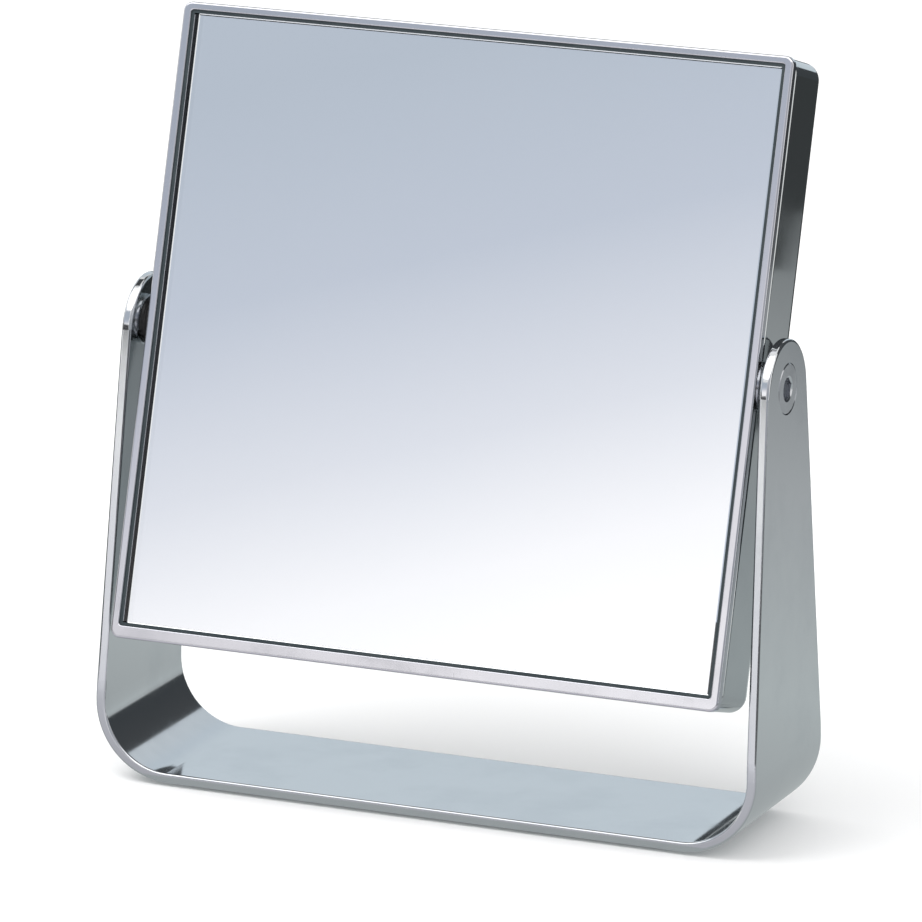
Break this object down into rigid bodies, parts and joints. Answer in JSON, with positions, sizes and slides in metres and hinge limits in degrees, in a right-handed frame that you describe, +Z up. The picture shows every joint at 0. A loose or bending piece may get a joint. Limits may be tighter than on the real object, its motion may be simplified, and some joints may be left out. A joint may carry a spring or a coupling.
{
  "type": "countertop mirror",
  "caption": "Square framed mirror with a thin metal-backed head that tilts between the tapered arms of a bent flat-strip stand.",
  "frame": {"origin": "middle of the underside of the base pad, on the surface the mirror stands on", "axes": "+X to the right of a person facing the mirror, along the tilt axis; +Y to the back; +Z up"},
  "size_m": [0.2098, 0.0779, 0.2287],
  "materials": {
    "stand_chrome": "bright chrome plate on bent steel strip",
    "pad_rubber": "matt black rubber sheet",
    "bush_plastic": "dark acetal",
    "bezel_chrome": "bright chrome plate",
    "shell_chrome": "bright chrome plate on pressed steel",
    "glass": "clear float glass with polished arris",
    "silver": "silvered mirror film",
    "gasket": "matt dark sealant",
    "tape": "closed-cell foam tape",
    "plate": "moulded ABS sheet",
    "zinc": "zinc-plated steel, satin",
    "pivot_chrome": "turned and chrome-plated steel",
    "nylon": "black nylon"
  },
  "bodies": {
    "stand": {"stand_band": "stand_chrome", "base_pad": "pad_rubber", "arm_bushing_left": "bush_plastic", "arm_bushing_right": "bush_plastic"},
    "head": {"front_bezel": "bezel_chrome", "back_shell": "shell_chrome", "mirror_glass": "glass", "mirror_coating": "silver", "glass_gasket": "gasket", "foam_tape_left": "tape", "foam_tape_middle": "tape", "foam_tape_right": "tape", "backing_plate": "plate", "backing_plate_screws": "zinc", "pivot_block_left": "zinc", "pivot_block_right": "zinc", "pivot_block_screws": "zinc", "pivot_screw_left": "pivot_chrome", "pivot_screw_right": "pivot_chrome", "spacer_washer_left": "pivot_chrome", "spacer_washer_right": "pivot_chrome", "friction_washer_left": "nylon", "friction_washer_right": "nylon", "lock_washer_left": "zinc", "lock_washer_right": "zinc", "lock_nut_left": "zinc", "lock_nut_right": "zinc"}
  },
  "joints": [
    {"name": "head_tilt", "type": "hinge", "parent": "stand", "child": "head", "pos_m": [0, 0, 0.1349], "axis": [1, 0, 0], "continuous": true}
  ]
}
